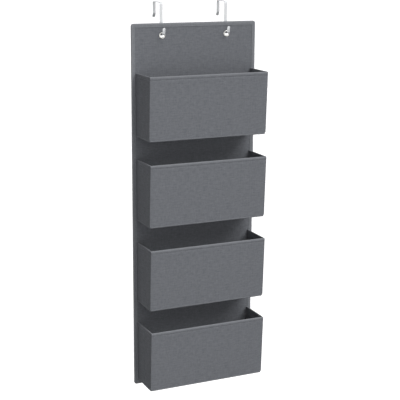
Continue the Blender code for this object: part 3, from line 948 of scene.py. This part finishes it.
def make_seam_tapes(basket, side_name, side, cloth):
    """Narrow cloth strips over a side's upright seams: beside the panel, and at the front corner."""
    foot = FEET[basket]
    low, high = WALL_FOOT + SEAM_TAPE_SHORTER, WALL_TOP - SEAM_TAPE_SHORTER
    lean = math.tan(LEAN)
    corner = [
        (front_hinge_depth(low) - SEAM_TAPE_BEHIND_HINGE, low),
        (DEPTH_AT_FLOOR + low * lean - SLEEVE_EDGE_RADIUS, low),
        (DEPTH_AT_FLOOR + high * lean - SLEEVE_EDGE_RADIUS, high),
        (front_hinge_depth(high) - SEAM_TAPE_BEHIND_HINGE, high),
    ]
    rear = rectangle(SEAM_TAPE_OFF_PANEL, REAR_SEAM_TAPE, low, high)
    for where, outline in (("front", corner), ("rear", rear)):
        shape = prism(outline, SEAM_TAPE)
        lean_here = lean if where == "front" else 0
        ahead = Vector((1, -lean_here, 0)).normalized()
        strips = [SEAM_TAPE_CELL * i for i in range(1, SEAM_TAPE_CELLS)]
        cut_across(shape, ahead, strips, through=(*outline[0], 0))
        cut_across(shape, (0, 1, 0), even_cuts(low, high))
        lay_weave(shape)
        shape.transform(side_frame(side, foot) @ Matrix.Translation((0, 0, WALL + SEAM_TAPE_OFF_WALL)))
        piece = put_in_scene(f"basket_{basket}_{side_name}_{where}_seam_tape", shape, cloth)
        if where == "rear":
            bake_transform(piece)
        elif side_name == "left":
            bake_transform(piece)
        else:
            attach(piece, f"basket_{basket}_front")


def make_floor(basket, cloth):
    """The floor flap's sleeve, open along its rear edge."""
    node = f"basket_{basket}_floor_cover"
    low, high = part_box(node)
    shape = prism(rectangle(low.x, high.x, PANEL_FACE - high.y, PANEL_FACE - low.y), WALL)
    open_up(shape, (0, -1, 0))
    round_off(shape, inner_edges(shape), SLEEVE_EDGE_RADIUS, steps=4)
    cut_across(shape, (1, 0, 0), even_cuts(low.x, high.x, FLOOR_CELL))
    cut_across(shape, (0, 1, 0), even_cuts(PANEL_FACE - high.y, PANEL_FACE - low.y, FLOOR_CELL))

    def relief(u, v, is_outer):
        return FLOOR_UNEVEN * noise.noise(Vector((u, v, basket)) / FLOOR_PATCH) - FLOOR_DRAWN_IN

    raise_cloth(shape, WALL, relief)
    lay_weave(shape)
    thicken(shape, CLOTH)
    lie_flat = Matrix(((1, 0, 0, 0), (0, -1, 0, PANEL_FACE), (0, 0, 1, low.z), (0, 0, 0, 1)))
    shape.transform(lie_flat)
    piece = put_in_scene(f"basket_{basket}_floor_fabric", shape, cloth)
    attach(piece, f"basket_{basket}_floor")
    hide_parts(node)


def make_foot_cloth(basket, cloth, thread):
    """The soft cloth under the flap, turned up at the front and sides and sewn to the walls' feet."""
    node = f"basket_{basket}_foot_cloth"
    low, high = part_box(node)
    turned_up = high.z - low.z + FOOT_OVERLAP
    front = PANEL_FACE - low.y
    shape = prism(rectangle(low.x, high.x, GAP, front), turned_up)
    upright = [e for e in shape.edges if e.verts[0].co.xy == e.verts[1].co.xy]
    round_off(shape, [e for e in upright if e.verts[0].co.y > front / 2], FOOT_CORNER_RADIUS, steps=6)
    open_up(shape, (0, 0, 1), (0, -1, 0))
    turned = [e for e in inner_edges(shape) if e.calc_face_angle() > math.radians(45)]
    round_off(shape, turned, FOOT_EDGE_RADIUS, steps=5)
    cut_across(shape, (1, 0, 0), even_cuts(low.x, high.x))
    cut_across(shape, (0, 1, 0), even_cuts(GAP, front))
    # Painted highlight: the turned-up edge is painted paler, most at its top.
    mark_fold_highlights(shape, lambda place: FOOT_HIGHLIGHT_OFF + turned_up - place.z)
    lay_weave(shape)
    for v in shape.verts:
        if v.co.z < FOOT_BOTTOM:
            patch = noise.noise(Vector((v.co.x, v.co.y, basket)) / FOOT_PATCH)
            v.co.z += FOOT_UNEVEN * (0.5 + 0.5 * patch)
    thicken(shape, FOOT_CLOTH)
    shape.transform(Matrix(((1, 0, 0, 0), (0, -1, 0, PANEL_FACE), (0, 0, 1, low.z), (0, 0, 0, 1))))
    piece = put_in_scene(f"basket_{basket}_foot_fabric", shape, cloth)
    height = high.z - FOOT_SEAM_BELOW_EDGE
    front_y, rear_y = low.y + FOOT_ROW_INSET, PANEL_FACE - ROW_INSET
    left_x, right_x = low.x + FOOT_ROW_INSET, high.x - FOOT_ROW_INSET
    rows = [
        stitch_row((left_x, low.y, height), (right_x, low.y, height), (0, -1, 0)),
        stitch_row((low.x, rear_y, height), (low.x, front_y, height), (-1, 0, 0)),
        stitch_row((high.x, rear_y, height), (high.x, front_y, height), (1, 0, 0)),
    ]
    row = put_in_scene(f"basket_{basket}_foot_thread", gather(rows), thread)
    for each in (piece, row):
        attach(each, "panel")
        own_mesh(each)
    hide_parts(node)


# Camera, light and floor


def make_camera():
    """The photograph's view: 25 degrees from the left and 13 degrees from above, with a long lens."""
    azimuth, elevation, roll = 24.6, 13.44, 0.3
    place = Vector((-1.1544, -2.5678, 0.1415))
    data = bpy.data.cameras.new("camera")
    data.sensor_width = 36.0
    data.lens = 95.5
    data.clip_end = 200.0
    camera = bpy.data.objects.new("camera", data)
    bpy.context.scene.collection.objects.link(camera)
    turn = Matrix.Rotation(math.radians(-azimuth), 4, "Z")
    tilt = Matrix.Rotation(math.radians(90 - elevation), 4, "X")
    camera.matrix_world = (
        Matrix.Translation(place) @ turn @ tilt @ Matrix.Rotation(math.radians(roll), 4, "Z")
    )
    bpy.context.scene.camera = camera


def make_lamp(name, strength, spread, azimuth, elevation):
    """A far lamp that looks as wide as its spread. Azimuth 0 is straight in front and 90 is to the
    right."""
    data = bpy.data.lights.new(name, "SUN")
    data.energy = strength
    data.angle = math.radians(spread)
    lamp = bpy.data.objects.new(name, data)
    bpy.context.scene.collection.objects.link(lamp)
    turn = Matrix.Rotation(math.radians(azimuth), 3, "Z")
    tilt = Matrix.Rotation(math.radians(90 - elevation), 3, "X")
    lamp.rotation_euler = (turn @ tilt).to_euler()


def make_softbox(name, strength, spread, azimuth, height, distance):
    """A round lamp a few steps away, which lights the organizer's top a little more than its foot. At
    this distance it looks as wide as its spread, and lights about as strongly as a far lamp does."""
    data = bpy.data.lights.new(name, "AREA")
    data.shape = "DISK"
    half_angle = math.radians(spread / 2)
    data.size = 2 * distance * math.tan(half_angle)
    data.energy = strength * math.pi * (distance / math.cos(half_angle)) ** 2
    lamp = bpy.data.objects.new(name, data)
    bpy.context.scene.collection.objects.link(lamp)
    lamp.visible_camera = False
    turn = Matrix.Rotation(math.radians(azimuth), 4, "Z")
    tilt = Matrix.Rotation(math.pi / 2, 4, "X")
    lamp.matrix_world = turn @ Matrix.Translation((0, -distance, height)) @ tilt


def make_light():
    """A soft key from the front right and above, a broad fill from the camera's side, a small one from
    straight behind for the rear cloth, and a white room."""
    make_lamp("key", strength=2.44, spread=45, azimuth=36, elevation=50)
    make_softbox("fill", strength=0.93, spread=70, azimuth=-15, height=0.4, distance=2.2)
    make_lamp("rear fill", strength=2.0, spread=8, azimuth=180, elevation=0)

    world = bpy.data.worlds.new("white room")
    world.use_nodes = True
    bpy.context.scene.world = world
    tree = world.node_tree
    seen = seen_directly(tree)
    room_light = 0.23
    strength = add_node(tree, "ShaderNodeMix", {0: seen, 2: room_light, 3: 1.0}, data_type="FLOAT")
    sky = tree.nodes["Background"]
    sky.inputs["Color"].default_value = (1, 1, 1, 1)
    tree.links.new(strength.outputs[0], sky.inputs["Strength"])


def seen_directly(tree):
    """1 for the camera's rays and for those that metal reflects or glass passes on, otherwise 0."""
    path = add_node(tree, "ShaderNodeLightPath").outputs
    sharp = add_node(
        tree,
        "ShaderNodeMath",
        {0: path["Is Glossy Ray"], 1: path["Is Transmission Ray"]},
        operation="MAXIMUM",
    )
    return add_node(
        tree, "ShaderNodeMath", {0: path["Is Camera Ray"], 1: sharp.outputs[0]}, operation="MAXIMUM"
    ).outputs[0]


def make_floor_plane():
    """The room's floor, as far below the organizer as when it hangs on a door."""
    below, half_side, added_glow = 0.95, 60.0, 0.4
    shape = bmesh.new()
    bmesh.ops.create_grid(shape, x_segments=1, y_segments=1, size=half_side)
    shape.transform(Matrix.Translation((0, 0, CAD_BOX[0].z - below)))
    made, tree, shader = start_material("matt white floor paint", Roughness=0.9)
    seen = seen_directly(tree)
    colour = add_node(
        tree,
        "ShaderNodeMix",
        {0: seen, 6: linear("8c8c8c"), 7: linear("fafafa")},
        data_type="RGBA",
    ).outputs[2]
    glow = add_node(tree, "ShaderNodeMath", {0: seen, 1: added_glow}, operation="MULTIPLY").outputs[0]
    tree.links.new(colour, shader.inputs["Base Color"])
    tree.links.new(glow, shader.inputs["Emission Strength"])
    shader.inputs["Emission Color"].default_value = (1, 1, 1, 1)
    floor = put_in_scene("floor", shape, made)


def main():
    # Real yarns lie about 0.6 mm apart in the cloth and 0.4 mm in the tape. They are drawn further apart,
    # or they wouldn't show.
    linen = woven_polyester(
        "linen-look polyester cloth",
        dark_yarn="616469",
        light_yarn="7e8085",
        # The paler colour below is painted near the cloth's folded rims: a painted highlight.
        highlight_colour="8a8c90",
        pitch=1.1 * MM,
        slub_length=7 * MM,
    )
    tape = woven_polyester(
        "woven polyester edge tape",
        dark_yarn="6b6e72",
        light_yarn="8b8d92",
        # The paler colour below is painted near the tape's folded rim: a painted highlight.
        highlight_colour="94969a",
        pitch=0.8 * MM,
        slub_length=6 * MM,
    )
    thread = spun_thread("spun polyester thread", "74787d", "8a8d92", PLY_SPACING)
    board = chipboard("recycled chipboard")
    steel = zinc_plated_strip("zinc-plated steel strip")
    nickel = nickel_plate("nickel-plated brass")

    make_panel_cloth("panel_front_fabric", "panel_front_cover", PANEL_COVER[1].y, linen)
    make_panel_cloth("panel_back_fabric", "panel_back_cover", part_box("panel_back_cover")[1].y, linen)
    make_edge_tape(tape)
    make_tape_thread(thread)
    for side_name, centre in zip(("left", "right"), eyelet_places()):
        make_eyelet(side_name, centre, nickel)
    finish_hooks(steel)
    for name, node in frame["nodes"].items():
        if name.endswith("_board"):
            node.data.materials.clear()
            node.data.materials.append(board)
    for basket in range(1, BASKET_COUNT + 1):
        make_front(basket, linen, thread)
        make_floor(basket, linen)
        make_foot_cloth(basket, linen, thread)
        for side_name, side in (("left", -1), ("right", 1)):
            make_side(basket, side_name, side, linen, thread)
            make_seam_tapes(basket, side_name, side, linen)

    make_camera()
    make_light()
    make_floor_plane()
    bpy.context.scene.view_settings.view_transform = "Standard"


main()
